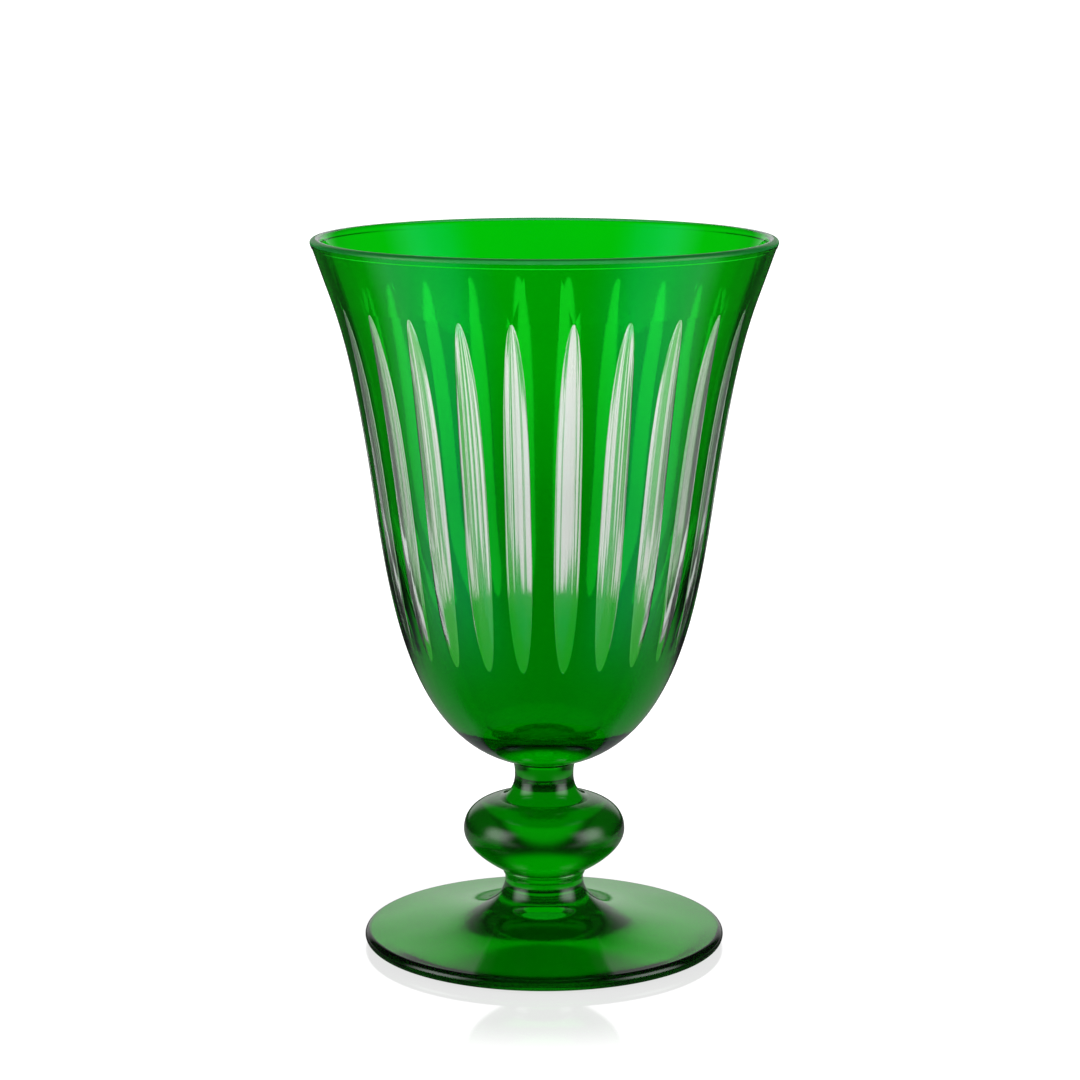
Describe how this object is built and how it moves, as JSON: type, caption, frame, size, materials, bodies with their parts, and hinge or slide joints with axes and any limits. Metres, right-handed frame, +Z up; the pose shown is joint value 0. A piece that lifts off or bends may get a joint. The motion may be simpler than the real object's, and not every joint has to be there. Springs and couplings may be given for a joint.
{
  "type": "stemmed glass",
  "caption": "Stemmed water glass with a flared bowl cased in green and cut with upright clear flutes, on a waisted stem with a round knop and a wide round foot.",
  "frame": {"origin": "middle of the foot, on the plane that the glass stands on", "axes": "+Z up along the axis that the glass is turned about, -Y towards the picture's viewer"},
  "size_m": [0.096, 0.096, 0.149],
  "materials": {
    "green_glass": "fire-polished glass with a deep emerald colour in its outer skin",
    "clear_glass": "clear polished glass, bare on the inside, the lip and the ground flutes"
  },
  "bodies": {
    "root": {"foot": "green_glass", "lower_stem": "green_glass", "knop_wafer": "green_glass", "knop": "green_glass", "upper_stem": "green_glass", "bowl_wafer": "green_glass", "bowl_crystal": "clear_glass", "bowl_casing": "green_glass"}
  },
  "joints": []
}
